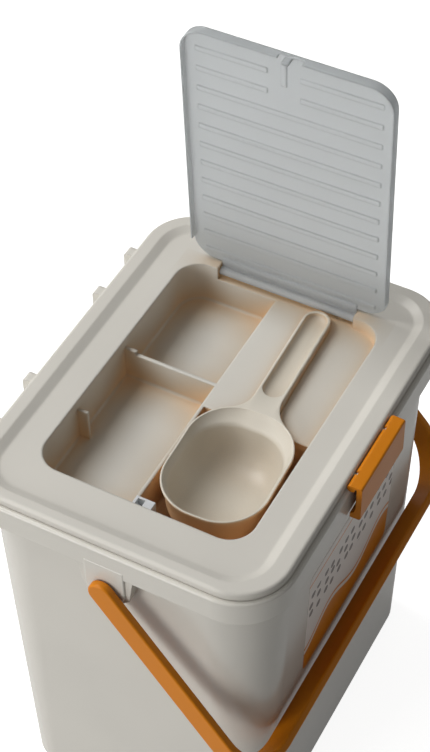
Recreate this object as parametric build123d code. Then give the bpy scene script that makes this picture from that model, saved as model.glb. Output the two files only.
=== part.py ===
from build123d import *

import os
from math import asin, atan, atan2, cos, degrees, hypot, radians, sin, sqrt

os.makedirs("parts", exist_ok=True)

# A tall food storage bin: a drafted tub, a hinged lid with a tray and a scoop in it,
# a see-through tray cover that stands open, a front clip and a bail handle.
# Origin at the middle of the base, +Z up, front towards -Y, all sizes in millimetres.

# Tub
bin_height = 342.0
base_length = 270.0
base_width = 200.4
base_corner = 24.0
mouth_length = 291.0
mouth_width = 223.4
mouth_corner = 46.0
wall = 2.5
floor_thickness = 3.0
base_edge_radius = 3.5
floor_fillet = 4.0

# Rim: a flange round the mouth with a skirt hanging from its edge
rim_overhang = 8.0
rim_corner = 40.5
rim_drop = 21.5
flange_thickness = 3.0
skirt_thickness = 2.4
rim_edge_radius = 2.2
skirt_edge_radius = 0.9

# Handle bosses, one on each short side
pivot_depth = 37.6
boss_width = 30.0
boss_top_depth = 14.0
boss_proud = 0.4
boss_edge_radius = 1.2
boss_floor = 2.5
boss_web_top_half = 22.0
boss_web_low_half = 17.5
boss_web_foot_half = 7.5
boss_web_depth = 44.0
boss_web_step = 1.6

# Lid
lid_setback = 3.5
lid_corner = 37.0
seam_gap = 0.3
border_height = 6.5
border_side = 8.5
border_front = 12.5
border_back = 10.5
dish_height = 3.2
dish_run = 6.5
lid_edge_radius = 2.4
dish_soft_radius = 4.0
dish_over = 2.0
lid_wall = 2.4
gasket_rib = 1.6

# Gasket ring in the lid's channel
gasket_width = 4.0
gasket_fit = 0.1
gasket_float = 0.25

# Tray sunk in the lid
tray_near = 110.3
tray_far = 107.2
tray_half_width = 79.2
tray_corner = 19.0
tray_wall = 2.2
platform_depth = 8.0
pocket_depth = 40.0
pocket_far = -7.0
pocket_back = 4.5
pocket_corner = 4.0
store_depth = 32.0
store_front = 7.0
rib_centre = 14.5
rib_thickness = 2.8
stub_centre = -51.0
stub_thickness = 2.2
stub_reach = 8.0
shoulder_depth = 4.9
shoulder_reach = 9.0
nib_centre = -55.0
nib_width = 2.0
nib_proud = 1.0
nib_height = 5.0
cavity_fillet = 2.0

# Cover hinge and its notch in the far wall of the tray
cover_axis_out = 4.8
cover_axis_depth = 2.2
cover_barrel_radius = 3.0
notch_half_width = 54.5
notch_clearance = 1.0
stub_radius = 1.5
stub_length = 2.0
pin_clearance = 0.08

# Tray cover
cover_gap = 2.0
cover_corner = 18.0
cover_thickness = 2.0
cover_flush = 3.0
cover_flange_depth = 7.0
cover_flange_thickness = 1.2
cover_hinge_edge = 6.8
cover_open_angle = 87.7
cover_end_gap = 0.5
cover_tongue_lift = 2.1
cover_rib_count = 12
cover_rib_height = 0.8
cover_rib_width = 4.0
cover_rib_length = 136.0
cover_first_rib = 18.0
cover_last_rib = 8.5
cover_short_ribs = 2
grip_centre = 3.0
grip_width = 24.0
grip_length = 26.0
grip_height = 0.8

# Catch for the cover's snap tab
catch_centre = -3.5
catch_width = 14.0
catch_length = 9.0
catch_top_depth = 0.5
catch_height = 13.5
catch_wall = 1.6
catch_bar = 1.2
catch_slot_width = 5.4
catch_slot_shift = 2.4
catch_fit = 0.3
tab_depth = 6.5
tab_bead = 0.5

# Lid hinge at the back
hinge_axis_inset = 1.1
hinge_axis_depth = 11.5
hinge_eye_radius = 4.7
hinge_top = 4.5
hinge_top_radius = 3.0
ear_width = 8.0
ear_inner = 47.5
ear_outer = 93.0
ear_gap = 0.5
knuckle_radius = 3.4
hinge_pin_radius = 1.5

# Front clip
clip_length = 69.0
clip_axis_out = 3.8
clip_axis_height = 2.7
clip_barrel_radius = 3.0
clip_skin = 0.8
clip_lug_place = 22.0
clip_lug_width = 2.4
clip_lug_gap = 0.3
clip_neck_drop = 1.7
clip_pin_radius = 0.9
clip_slot_low = -60.0
clip_slot_high = 80.0
clip_reach = 8.0
clip_plate = 4.0
clip_top = 2.2
clip_top_slope = 0.4
clip_hook_gap = 0.35
clip_hook_under = 0.6
clip_hook_height = 4.0
clip_hook_depth = 2.6
clip_hook_rise = 1.3
clip_edge_radius = 1.6

# Bail handle
strap_width = 18.6
strap_thickness = 6.4
strap_edge_radius = 1.6
arm_gap = 0.4
arm_splay = 6.8
handle_reach = 182.3
handle_inner_corner = 36.0
handle_pin_radius = 4.75
handle_pin_clearance = 0.1
handle_pin_end_gap = 0.4
handle_rest_gap = 0.6

# Scoop, lying a little turned in its pocket
scoop_rim_depth = 0.6
scoop_near_gap = 10.7
scoop_overhang = 7.7
scoop_front_gap = 4.2
scoop_back_gap = 2.5
scoop_turn = 2.1
scoop_rim_corner = 34.0
scoop_shelf_gap = 1.2
scoop_lip = 1.8
scoop_shoulder_inset = 2.4
scoop_belly_inset = 4.6
scoop_bottom_inset = 10.0
scoop_bottom_corner = 20.0
scoop_belly_share = 0.42
scoop_wall = 1.8
scoop_clearance = 0.7
scoop_seat_gap = 0.3
scoop_bottom_fillet = 6.0
scoop_handle_width = 20.5
scoop_end_gap = 0.9
scoop_channel_start = 16.0
neck_back_radius = 20.0
neck_front_radius = 25.0
neck_gap = 2.0

# Front label film
label_length = 140.0
label_height = 112.0
label_top_depth = 62.0
label_corner = 6.0
label_thickness = 0.15

# Levels and half sizes that several pieces share
seam = bin_height
rim_length = mouth_length + 2 * rim_overhang
rim_width = mouth_width + 2 * rim_overhang
lid_length = rim_length - 2 * lid_setback
lid_width = rim_width - 2 * lid_setback
dish_top = seam + dish_height
pivot_z = seam - pivot_depth
arm_inner_x = rim_length / 2 + boss_proud + arm_gap
platform_z = seam - platform_depth
cover_axis_x = tray_far + cover_axis_out
cover_axis_z = seam - cover_axis_depth
hinge_axis_y = rim_width / 2 - hinge_axis_inset
hinge_axis_z = seam - hinge_axis_depth
clip_axis_y = -(lid_width / 2 + clip_axis_out)
clip_axis_z = seam + clip_axis_height
scoop_top_z = seam - scoop_rim_depth
scoop_near = -tray_near + scoop_near_gap
scoop_far = pocket_far + scoop_overhang
scoop_front_y = -tray_half_width + scoop_front_gap
scoop_back_y = pocket_back - scoop_back_gap
scoop_bowl_width = scoop_back_y - scoop_front_y
scoop_centre_x = (scoop_near + scoop_far) / 2
scoop_centre_y = (scoop_front_y + scoop_back_y) / 2
scoop_handle_end = tray_far - scoop_end_gap
scoop_shelf_far = pocket_far - scoop_shelf_gap
cut = 1.0


def prism(outline, z0, z1):
    """A flat outline extruded from height z0 to z1."""
    return Pos(0, 0, z0) * extrude(outline, z1 - z0)


def block(x0, x1, y0, y1, z0, z1):
    """A box given by its two corners."""
    size = Box(x1 - x0, y1 - y0, z1 - z0)
    return Pos((x0 + x1) / 2, (y0 + y1) / 2, (z0 + z1) / 2) * size


def rod_x(radius, x0, x1, y, z):
    """A round bar along X."""
    return Pos((x0 + x1) / 2, y, z) * Rot(0, 90, 0) * Cylinder(radius, x1 - x0)


def rod_y(radius, x, y0, y1, z):
    """A round bar along Y."""
    return Pos(x, (y0 + y1) / 2, z) * Rot(90, 0, 0) * Cylinder(radius, y1 - y0)


def side_profile(outline, x0, x1):
    """An outline drawn in Y and Z, extruded along X from x0 to x1."""
    return Pos(x0, 0, 0) * extrude(Plane.YZ * outline, x1 - x0, dir=(1, 0, 0))


def one_solid(shape):
    """The single solid of a shape."""
    return shape.solids()[0]


def tub_section(z, inset):
    """The tub's rounded outline at height z, moved in by inset."""
    share = z / bin_height
    length = base_length + (mouth_length - base_length) * share
    width = base_width + (mouth_width - base_width) * share
    corner = base_corner + (mouth_corner - base_corner) * share
    outline = RectangleRounded(length - 2 * inset, width - 2 * inset, corner - inset)
    return Pos(0, 0, z) * outline


def wall_half_length(z):
    """Half the tub's outside length at height z."""
    return (base_length + (mouth_length - base_length) * z / bin_height) / 2


def tub_cavity():
    """The space inside the tub."""
    space = loft([tub_section(floor_thickness, wall), tub_section(seam + cut, wall)])
    return fillet(space.faces().sort_by(Axis.Z)[0].edges(), floor_fillet)


def rim():
    """The flange and its hanging skirt."""
    outline = RectangleRounded(rim_length, rim_width, rim_corner)
    inside = RectangleRounded(
        rim_length - 2 * skirt_thickness, rim_width - 2 * skirt_thickness, rim_corner - skirt_thickness
    )
    band = prism(outline, seam - rim_drop, seam)
    band = fillet(band.faces().sort_by(Axis.Z)[-1].edges(), rim_edge_radius)
    band = fillet(band.faces().sort_by(Axis.Z)[0].edges(), skirt_edge_radius)
    return band - prism(inside, seam - rim_drop - cut, seam - flange_thickness)


def handle_boss(side):
    """The block on a short side that holds the handle's pin."""
    half = boss_width / 2
    face_x = rim_length / 2 + boss_proud
    root_x = wall_half_length(pivot_z - half) - wall
    outline = Pos(0, pivot_z) * Circle(half)
    outline += Pos(0, (pivot_z + seam - boss_top_depth) / 2) * Rectangle(
        boss_width, seam - boss_top_depth - pivot_z
    )
    outline = make_face(outline.face().outer_wire()).face()
    boss = side_profile(Sketch() + outline, root_x, face_x)
    boss = fillet(boss.faces().sort_by(Axis.X)[-1].edges(), boss_edge_radius)
    web = Polygon(
        (boss_web_top_half, seam - boss_top_depth),
        (boss_web_low_half, seam - boss_web_depth),
        (boss_web_foot_half, pivot_z - half),
        (-boss_web_foot_half, pivot_z - half),
        (-boss_web_low_half, seam - boss_web_depth),
        (-boss_web_top_half, seam - boss_top_depth),
        align=None,
    )
    boss += side_profile(web, root_x, face_x - boss_web_step)
    bore_start = wall_half_length(pivot_z) + boss_floor - wall
    boss -= rod_x(handle_pin_radius + handle_pin_clearance, bore_start, face_x + cut, 0, pivot_z)
    return boss if side > 0 else Rot(0, 0, 180) * boss


def hinge_slot(centre):
    """The opening in the rim that one lid ear turns in."""
    half = ear_width / 2 + ear_gap
    front = hinge_axis_y - hinge_eye_radius - ear_gap
    return block(
        centre - half, centre + half, front, rim_width / 2 + cut, seam - rim_drop - cut, seam + cut
    )


def hinge_knuckle(side):
    """The knuckle under the rim between one pair of lid ears, before its bore is drilled."""
    x0 = ear_inner + ear_width / 2 + ear_gap
    x1 = ear_outer - ear_width / 2 - ear_gap
    knuckle = rod_x(knuckle_radius, x0, x1, hinge_axis_y, hinge_axis_z)
    web_y = rim_width / 2 - skirt_thickness
    knuckle += block(
        x0, x1, web_y, hinge_axis_y, hinge_axis_z - knuckle_radius, hinge_axis_z + knuckle_radius
    )
    return knuckle if side > 0 else mirror(knuckle, Plane.YZ)


def hinge_bore(side, radius):
    """A bore along one hinge rod's axis."""
    x0 = ear_inner - ear_width / 2 - cut
    x1 = ear_outer + ear_width / 2 + cut
    bore = rod_x(radius, x0, x1, hinge_axis_y, hinge_axis_z)
    return bore if side > 0 else mirror(bore, Plane.YZ)


def make_bin_body():
    """The tub with its rim, handle bosses and hinge knuckles."""
    tub = loft([tub_section(0, 0), tub_section(seam, 0)])
    tub = fillet(tub.faces().sort_by(Axis.Z)[0].edges(), base_edge_radius)
    tub += rim()
    for side in (-1, 1):
        tub += handle_boss(side)
        for centre in (ear_inner, ear_outer):
            tub -= hinge_slot(side * centre)
    for side in (-1, 1):
        tub += hinge_knuckle(side)
        tub -= hinge_bore(side, hinge_pin_radius + pin_clearance)
    tub -= tub_cavity()
    return tub


def tray_prism(z0, z1, grow):
    """The tray's rounded outline as a prism, grown outward by grow."""
    length = tray_near + tray_far + 2 * grow
    outline = RectangleRounded(length, 2 * (tray_half_width + grow), tray_corner + grow)
    return Pos((tray_far - tray_near) / 2, 0, 0) * prism(outline, z0, z1)


def soft_bottom(space, radius):
    """A cavity with its floor edges rounded."""
    return fillet(space.faces().sort_by(Axis.Z)[0].edges(), radius)


def scoop_pocket(grow):
    """The deep pocket for the scoop's bowl, or with grow, the walls round it."""
    floor = seam - pocket_depth - grow
    top = platform_z + (cut if grow == 0 else 0)
    pocket = block(
        -tray_near - grow, pocket_far + grow, -tray_half_width - grow, pocket_back + grow, floor, top
    )
    pocket = pocket & tray_prism(floor - cut, top + cut, grow)
    far_edge = pocket.edges().filter_by(Axis.Z).group_by(Axis.X)[-1].sort_by(Axis.Y)[0]
    pocket = chamfer(far_edge, pocket_corner)
    return pocket if grow else soft_bottom(pocket, cavity_fillet)


def store_cavity(x0, x1):
    """One back compartment between x0 and x1."""
    floor = seam - store_depth
    top = platform_z + cut
    store = block(x0, x1, store_front, tray_half_width, floor, top)
    store = store & tray_prism(floor - cut, top + cut, 0)
    return soft_bottom(store, cavity_fillet)


def store_shell():
    """The walls round both back compartments."""
    floor = seam - store_depth - tray_wall
    shell = block(
        -tray_near - tray_wall,
        tray_far + tray_wall,
        store_front - tray_wall,
        tray_half_width + tray_wall,
        floor,
        platform_z,
    )
    return shell & tray_prism(floor - cut, platform_z + cut, tray_wall)


def tray_ribs():
    """The cross rib's raised shoulder, the stub rib and the locating nibs."""
    wall_y = tray_half_width + tray_wall / 2
    half_rib = rib_thickness / 2
    ribs = block(
        rib_centre - half_rib,
        rib_centre + half_rib,
        tray_half_width - shoulder_reach,
        wall_y,
        platform_z - cut,
        seam - shoulder_depth,
    )
    half_stub = stub_thickness / 2
    ribs += block(
        stub_centre - half_stub,
        stub_centre + half_stub,
        tray_half_width - stub_reach,
        wall_y,
        seam - store_depth - tray_wall / 2,
        seam - shoulder_depth,
    )
    for y0, y1 in (
        (-tray_half_width - cut, -tray_half_width + nib_proud),
        (pocket_back - nib_proud, pocket_back + cut),
    ):
        ribs += block(
            nib_centre - nib_width / 2,
            nib_centre + nib_width / 2,
            y0,
            y1,
            platform_z - nib_height,
            platform_z,
        )
    return ribs


def cover_notch():
    """The space in the tray's far wall where the cover's barrel turns."""
    far = cover_axis_x + cover_barrel_radius + notch_clearance
    return block(tray_far - cut, far, -notch_half_width, notch_half_width, platform_z, dish_top + cut)


def notch_shell():
    """The walls round the hinge notch."""
    far = cover_axis_x + cover_barrel_radius + notch_clearance + tray_wall
    half = notch_half_width + stub_length + tray_wall
    return block(tray_far - cut, far, -half, half, platform_z - tray_wall, dish_top - cut)


def cover_stub_bore():
    """The holes that the cover's stubs snap into."""
    half = notch_half_width + stub_length + notch_clearance / 2
    return rod_y(stub_radius + pin_clearance, cover_axis_x, -half, half, cover_axis_z)


def dish():
    """The sunk middle of the lid's top, with a soft slope down from the border."""
    y_middle = (border_front - border_back) / 2
    high_length = lid_length - 2 * border_side
    high_width = lid_width - border_front - border_back
    high_corner = lid_corner - border_side
    slope = dish_run / (border_height - dish_height)
    over = dish_over * slope
    high = RectangleRounded(high_length + 2 * over, high_width + 2 * over, high_corner + over)
    low = RectangleRounded(
        high_length - 2 * dish_run, high_width - 2 * dish_run, high_corner - dish_run
    )
    bottom = Pos(0, y_middle, dish_top) * low
    top = Pos(0, y_middle, seam + border_height + dish_over) * high
    space = loft([bottom, top])
    return fillet(space.faces().sort_by(Axis.Z)[0].edges(), dish_soft_radius)


def lid_ring(outer_inset, inner_inset, z0, z1):
    """A ring that follows the lid's outline between two insets."""
    outer = RectangleRounded(
        lid_length - 2 * outer_inset, lid_width - 2 * outer_inset, lid_corner - outer_inset
    )
    inner = RectangleRounded(
        lid_length - 2 * inner_inset, lid_width - 2 * inner_inset, lid_corner - inner_inset
    )
    return prism(outer, z0, z1) - prism(inner, z0 - cut, z1 + cut)


def lid_plate():
    """The lid's border and flat, hollow underneath."""
    outline = RectangleRounded(lid_length, lid_width, lid_corner)
    plate = prism(outline, seam + seam_gap, seam + border_height)
    plate = fillet(plate.faces().sort_by(Axis.Z)[-1].edges(), lid_edge_radius)
    plate -= dish()
    channel = lid_wall + gasket_width + 2 * gasket_fit
    roof = seam + border_height - lid_wall
    plate -= lid_ring(lid_wall, channel, seam, roof)
    under = lid_wall + border_side
    plate -= lid_ring(channel + gasket_rib, under, seam, roof)
    hollow = RectangleRounded(lid_length - 2 * under, lid_width - 2 * under, lid_corner - under)
    plate -= prism(hollow, seam, dish_top - lid_wall)
    return plate


def hinge_ear(centre):
    """One hinge ear: a flat plate from the border's back edge down past the rim."""
    eye_back = hinge_axis_y + hinge_eye_radius
    front = hinge_axis_y - hinge_eye_radius
    top = seam + hinge_top
    leg = Pos((front + eye_back) / 2, (top + hinge_axis_z) / 2) * Rectangle(
        eye_back - front, top - hinge_axis_z
    )
    corner = leg.vertices().group_by(Axis.X)[-1].sort_by(Axis.Y)[-1]
    leg = fillet(corner, hinge_top_radius)
    outline = leg + Pos(hinge_axis_y, hinge_axis_z) * Circle(hinge_eye_radius)
    return side_profile(outline, centre - ear_width / 2, centre + ear_width / 2)


def clip_lug(side):
    """One lug on the lid's front edge that reaches into the clip's barrel and holds its pin."""
    half = clip_lug_width / 2
    radius = clip_barrel_radius - clip_skin - clip_lug_gap
    lug = rod_x(radius, -half, half, clip_axis_y, clip_axis_z)
    back = -lid_width / 2 + lid_wall / 2
    lug += block(-half, half, clip_axis_y, back, clip_axis_z - clip_neck_drop, clip_axis_z)
    lug -= rod_x(clip_pin_radius + pin_clearance, -half - cut, half + cut, clip_axis_y, clip_axis_z)
    return Pos(side * clip_lug_place, 0, 0) * lug


def make_lid():
    """The whole lid moulding."""
    lid = lid_plate()
    lid += tray_prism(platform_z - tray_wall, dish_top - cut, tray_wall)
    lid += scoop_pocket(tray_wall)
    lid += store_shell()
    lid += notch_shell()
    opening = tray_prism(platform_z, dish_top + cut, 0)
    lid -= opening
    lid -= scoop_pocket(0)
    lid -= store_cavity(-tray_near, rib_centre - rib_thickness / 2)
    lid -= store_cavity(rib_centre + rib_thickness / 2, tray_far)
    lid -= cover_notch()
    lid -= cover_stub_bore()
    lid += tray_ribs()
    for side in (-1, 1):
        lid += clip_lug(side)
        for centre in (ear_inner, ear_outer):
            lid += hinge_ear(side * centre)
        lid -= hinge_bore(side, hinge_pin_radius)
    return lid


def make_gasket():
    """The soft ring in the lid's channel, just off the rim's top."""
    outer = lid_wall + gasket_fit
    top = seam + border_height - lid_wall
    return lid_ring(outer, outer + gasket_width, seam + gasket_float, top)


def make_hinge_rod(side):
    """A rod through one pair of lid ears and the tub's knuckle."""
    x0 = ear_inner - ear_width / 2
    x1 = ear_outer + ear_width / 2
    rod = rod_x(hinge_pin_radius, x0, x1, hinge_axis_y, hinge_axis_z)
    return rod if side > 0 else mirror(rod, Plane.YZ)


def cover_outline(grow):
    """The cover's flat outline, grown outward by grow."""
    near = -tray_near + cover_gap
    far = cover_axis_x - cover_hinge_edge
    half = tray_half_width - cover_gap
    outline = RectangleRounded(far - near + 2 * grow, 2 * (half + grow), cover_corner + grow)
    return Pos((near + far) / 2, 0) * outline


def cover_ribs(z0, z1):
    """Shallow bands across the underside, the first two cut short by the finger grip."""
    first = -tray_near + cover_gap + cover_first_rib
    last = cover_axis_x - cover_hinge_edge - cover_last_rib
    bands = []
    for index in range(cover_rib_count):
        centre = first + (last - first) * index / (cover_rib_count - 1)
        half = cover_rib_length / 2
        x0 = centre - cover_rib_width / 2
        x1 = centre + cover_rib_width / 2
        if index < cover_short_ribs:
            grip_end = grip_centre + grip_width / 2
            grip_start = grip_centre - grip_width / 2
            bands.append(block(x0, x1, grip_end, half, z0, z1))
            bands.append(block(x0, x1, -half, grip_start, z0, z1))
        else:
            bands.append(block(x0, x1, -half, half, z0, z1))
    return bands


def closed_cover():
    """The tray cover as it lies shut in the tray's mouth."""
    top = seam + cover_flush
    under = top - cover_thickness
    near = -tray_near + cover_gap
    far = cover_axis_x - cover_hinge_edge
    cover = prism(cover_outline(0), under, top)
    flange = prism(cover_outline(0), top - cover_flange_depth, under)
    flange -= prism(cover_outline(-cover_flange_thickness), top - cover_flange_depth - cut, under + cut)
    flange -= block(far - cover_corner, far + cut, -tray_half_width, tray_half_width, seam - rim_drop, top)
    catch_half = catch_width / 2 + cover_gap
    flange -= block(
        near - cut,
        near + catch_length,
        catch_centre - catch_half,
        catch_centre + catch_half,
        seam - rim_drop,
        seam - catch_top_depth + catch_fit,
    )
    cover += flange
    for band in cover_ribs(under - cover_rib_height, under):
        cover += band
    cover += block(
        near + cover_flange_thickness,
        near + cover_flange_thickness + grip_length,
        grip_centre - cover_rib_width / 2,
        grip_centre + cover_rib_width / 2,
        under - grip_height,
        under,
    )
    tongue_half = notch_half_width - cover_end_gap
    tongue_root = far - cover_rib_width
    tongue_low = cover_axis_z + cover_tongue_lift
    cover += block(tongue_root, cover_axis_x, -tongue_half, tongue_half, tongue_low, under)
    cover += rod_y(cover_barrel_radius, cover_axis_x, -tongue_half, tongue_half, cover_axis_z)
    stub_half = tongue_half + stub_length
    cover += rod_y(stub_radius, cover_axis_x, -stub_half, stub_half, cover_axis_z)
    cover += snap_tab()
    return cover


def snap_tab():
    """The tab under the cover's free edge that goes into the catch."""
    centre = catch_centre + catch_slot_shift
    half = catch_slot_width / 2 - catch_fit
    x0 = -tray_near + catch_wall + catch_bar
    x1 = x0 + cover_thickness
    low = seam - tab_depth
    tab = block(x0, x1, centre - half, centre + half, low, seam + cover_flush - cover_thickness)
    bead = rod_y(tab_bead, x1, centre - half, centre + half, low + cover_thickness)
    return tab + bead


def make_tray_cover():
    """The cover turned up about its hinge to where it stands open."""
    axis = Axis((cover_axis_x, 0, cover_axis_z), (0, 1, 0))
    return closed_cover().rotate(axis, cover_open_angle)


def make_catch():
    """The small frame in the tray's near wall that takes the snap tab."""
    half = catch_width / 2
    top = seam - catch_top_depth
    low = top - catch_height
    x0 = -tray_near
    x1 = x0 + catch_length
    catch = block(x0, x1, catch_centre - half, catch_centre + half, low, top)
    slot_centre = catch_centre + catch_slot_shift
    slot_half = catch_slot_width / 2
    catch -= block(
        x0 + catch_bar,
        x1 - catch_wall,
        slot_centre - slot_half,
        slot_centre + slot_half,
        low + catch_wall,
        top + cut,
    )
    return catch


def clip_profile():
    """The clip's outline in Y and Z: barrel, top plate, front plate and hook."""
    back = clip_axis_y
    front = clip_axis_y - clip_reach
    top = clip_axis_z + clip_barrel_radius
    front_top = top - clip_top_slope
    skirt = -rim_width / 2
    hook_tip = skirt - clip_hook_gap
    hook_top = seam - rim_drop - clip_hook_under
    hook_low = hook_top - clip_hook_height
    inner = front + clip_plate
    plate = Polygon(
        (back, top),
        (front, front_top),
        (front, hook_low + clip_edge_radius),
        (front + clip_edge_radius, hook_low),
        (hook_tip, hook_low),
        (hook_tip, hook_top),
        (hook_tip - clip_hook_depth, hook_top + clip_hook_rise),
        (inner, hook_top + clip_plate + clip_hook_depth),
        (inner, top - clip_top),
        (back, top - clip_top),
        align=None,
    )
    corner = plate.vertices().sort_by_distance((front, front_top))[0]
    plate = fillet(corner, clip_edge_radius)
    return plate + Pos(clip_axis_y, clip_axis_z) * Circle(clip_barrel_radius)


def clip_slot(side):
    """The space in the clip's barrel that one lid lug sits in, open at the back for its neck."""
    half = clip_lug_width / 2 + clip_lug_gap
    space = rod_x(clip_barrel_radius - clip_skin, -half, half, clip_axis_y, clip_axis_z)
    reach = clip_barrel_radius + cut
    start = radians(clip_slot_low)
    end = radians(clip_slot_high)
    middle = (start + end) / 2
    wedge = Polygon(
        (0, 0),
        (reach * cos(start), reach * sin(start)),
        (2 * reach * cos(middle), 2 * reach * sin(middle)),
        (reach * cos(end), reach * sin(end)),
        align=None,
    )
    space += side_profile(Pos(clip_axis_y, clip_axis_z) * wedge, -half, half)
    return Pos(side * clip_lug_place, 0, 0) * space


def make_front_latch():
    """The clip over the front rim, with a pin across each slot for a lug of the lid."""
    half = clip_length / 2
    clip = side_profile(clip_profile(), -half, half)
    for side in (-1, 1):
        clip -= clip_slot(side)
    pin_half = clip_lug_place + clip_lug_width
    clip += rod_x(clip_pin_radius, -pin_half, pin_half, clip_axis_y, clip_axis_z)
    return clip


def rest_angle():
    """How far forward of straight down the handle leans when its bar rests on the front wall."""
    lean = atan((mouth_width - base_width) / 2 / bin_height)
    wall_y = (base_width + (mouth_width - base_width) * pivot_z / bin_height) / 2
    distance = wall_y * cos(lean)
    corner_reach = hypot(handle_reach, strap_width / 2)
    corner_angle = atan2(strap_width / 2, handle_reach)
    return asin((distance + handle_rest_gap) / corner_reach) + corner_angle - lean


def u_outline(inner):
    """The bail's outline in its own plane: across is X, down the arms is Y."""
    thick = 0.0 if inner else strap_thickness
    half_top = arm_inner_x + thick
    half_low = half_top + arm_splay
    low = -handle_reach - thick
    high = strap_width if inner else strap_width / 2
    shape = Polygon(
        (-half_top, high), (-half_low, low), (half_low, low), (half_top, high), align=None
    )
    corners = shape.vertices().group_by(Axis.Y)[0]
    return fillet(corners, handle_inner_corner + thick)


def make_handle():
    """The bail: a flat strap bent to a U, round at its ends, with a pin in each arm."""
    strap = extrude(u_outline(False) - u_outline(True), strap_width / 2, both=True)
    across = 2 * (arm_inner_x + strap_thickness + arm_splay + cut)
    down = handle_reach + strap_thickness + cut
    ends = rod_x(strap_width / 2, -across / 2, across / 2, 0, 0)
    below = Pos(0, -down / 2, 0) * Box(across, down, strap_width + cut)
    strap = strap & (ends + below)
    strap = one_solid(strap)
    edges = strap.edges().filter_by(lambda edge: edge.length > strap_width + strap_thickness)
    strap = fillet(edges, strap_edge_radius)
    pin_tip = wall_half_length(pivot_z) + boss_floor - wall + handle_pin_end_gap
    for side in (-1, 1):
        x0, x1 = sorted((side * pin_tip, side * (arm_inner_x + strap_thickness / 2)))
        strap += rod_x(handle_pin_radius, x0, x1, 0, 0)
    return Pos(0, 0, pivot_z) * Rot(90 - degrees(rest_angle()), 0, 0) * strap


def bowl_section(z, inset, far, corner):
    """One rounded outline of the bowl: inset on three sides, with its own far side."""
    near = scoop_near + inset
    half = scoop_bowl_width / 2 - inset
    outline = RectangleRounded(far - near, 2 * half, corner)
    return Pos((near + far) / 2, scoop_centre_y, z) * outline


def bowl_form(shell):
    """The bowl up to its lip as rounded outlines at rising heights, moved in by shell all round."""
    low = seam - pocket_depth + scoop_clearance + 2 * scoop_seat_gap + shell
    shelf = platform_z + scoop_seat_gap + shell
    belly = low + (shelf - low) * scoop_belly_share
    rim_corner = scoop_rim_corner - shell
    heights = [
        (low, scoop_bottom_inset, scoop_shelf_far - scoop_bottom_inset, scoop_bottom_corner),
        (belly, scoop_belly_inset, scoop_shelf_far - scoop_belly_inset, scoop_bottom_corner),
        (shelf - cut, scoop_shoulder_inset, scoop_shelf_far - cut, rim_corner - scoop_shoulder_inset),
        (scoop_top_z - scoop_lip, 0.0, scoop_far, rim_corner),
    ]
    return [bowl_section(z, inset + shell, far - shell, corner) for z, inset, far, corner in heights]


def bowl_solid(shell):
    """The bowl's form with its floor edge rounded."""
    form = loft(bowl_form(shell), ruled=True)
    return fillet(form.faces().sort_by(Axis.Z)[0].edges(), scoop_bottom_fillet - shell)


def bowl_cavity():
    """The space in the bowl, open at the top."""
    lip = scoop_top_z - scoop_lip
    mouth = bowl_section(0, scoop_wall, scoop_far - scoop_wall, scoop_rim_corner - scoop_wall)
    return bowl_solid(scoop_wall) + prism(mouth, lip, scoop_top_z + cut)


def neck_fill(side, radius):
    """The web that rounds the handle's edge into the bowl's rim on one side."""
    edge_y = scoop_centre_y + side * scoop_handle_width / 2
    corner_x = scoop_far - scoop_rim_corner
    corner_y = scoop_centre_y + side * (scoop_bowl_width / 2 - scoop_rim_corner)
    fill_y = edge_y + side * radius
    fill_x = corner_x + sqrt((scoop_rim_corner + radius) ** 2 - (fill_y - corner_y) ** 2)
    low_y, high_y = sorted((edge_y, fill_y))
    web = Polygon((corner_x, corner_y), (fill_x, low_y), (fill_x, high_y), align=None)
    return web - Pos(fill_x, fill_y) * Circle(radius)


def scoop_outline():
    """The scoop seen from above: the bowl's rim, the neck and the handle."""
    bowl = Pos(scoop_centre_x, scoop_centre_y) * RectangleRounded(
        scoop_far - scoop_near, scoop_bowl_width, scoop_rim_corner
    )
    handle_length = scoop_handle_end - scoop_centre_x
    handle = Pos(scoop_centre_x + handle_length / 2, scoop_centre_y) * SlotOverall(
        handle_length, scoop_handle_width
    )
    outline = bowl + handle + neck_fill(1, neck_back_radius) + neck_fill(-1, neck_front_radius)
    return outline.faces()[0]


def make_scoop():
    """The scoop lying a little turned in its pocket, its handle on the platform."""
    top = scoop_top_z
    handle_low = platform_z + scoop_seat_gap
    plate = prism(scoop_outline(), top - scoop_lip, top)
    arm = prism(scoop_outline(), handle_low, top)
    arm -= block(
        scoop_near - cut,
        pocket_far + neck_gap,
        -tray_half_width,
        tray_half_width,
        handle_low - cut,
        top - scoop_lip,
    )
    scoop = bowl_solid(0) + plate + arm
    scoop -= bowl_cavity()
    channel_length = scoop_handle_end - scoop_wall - scoop_channel_start
    channel_width = scoop_handle_width - 2 * scoop_wall
    channel = Pos(scoop_channel_start + channel_length / 2, scoop_centre_y) * SlotOverall(
        channel_length, channel_width
    )
    scoop -= prism(channel, handle_low + scoop_wall, top + cut)
    return scoop.rotate(Axis((scoop_centre_x, scoop_centre_y, 0), (0, 0, 1)), scoop_turn)


def make_label():
    """A thin film on the front wall."""
    lean = atan((mouth_width - base_width) / 2 / bin_height)
    centre_z = seam - label_top_depth - label_height / 2
    wall_y = (base_width + (mouth_width - base_width) * centre_z / bin_height) / 2
    face = Plane(
        origin=(0, -wall_y, centre_z), x_dir=(1, 0, 0), z_dir=(0, -cos(lean), -sin(lean))
    )
    return extrude(face * RectangleRounded(label_length, label_height, label_corner), label_thickness)


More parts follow.
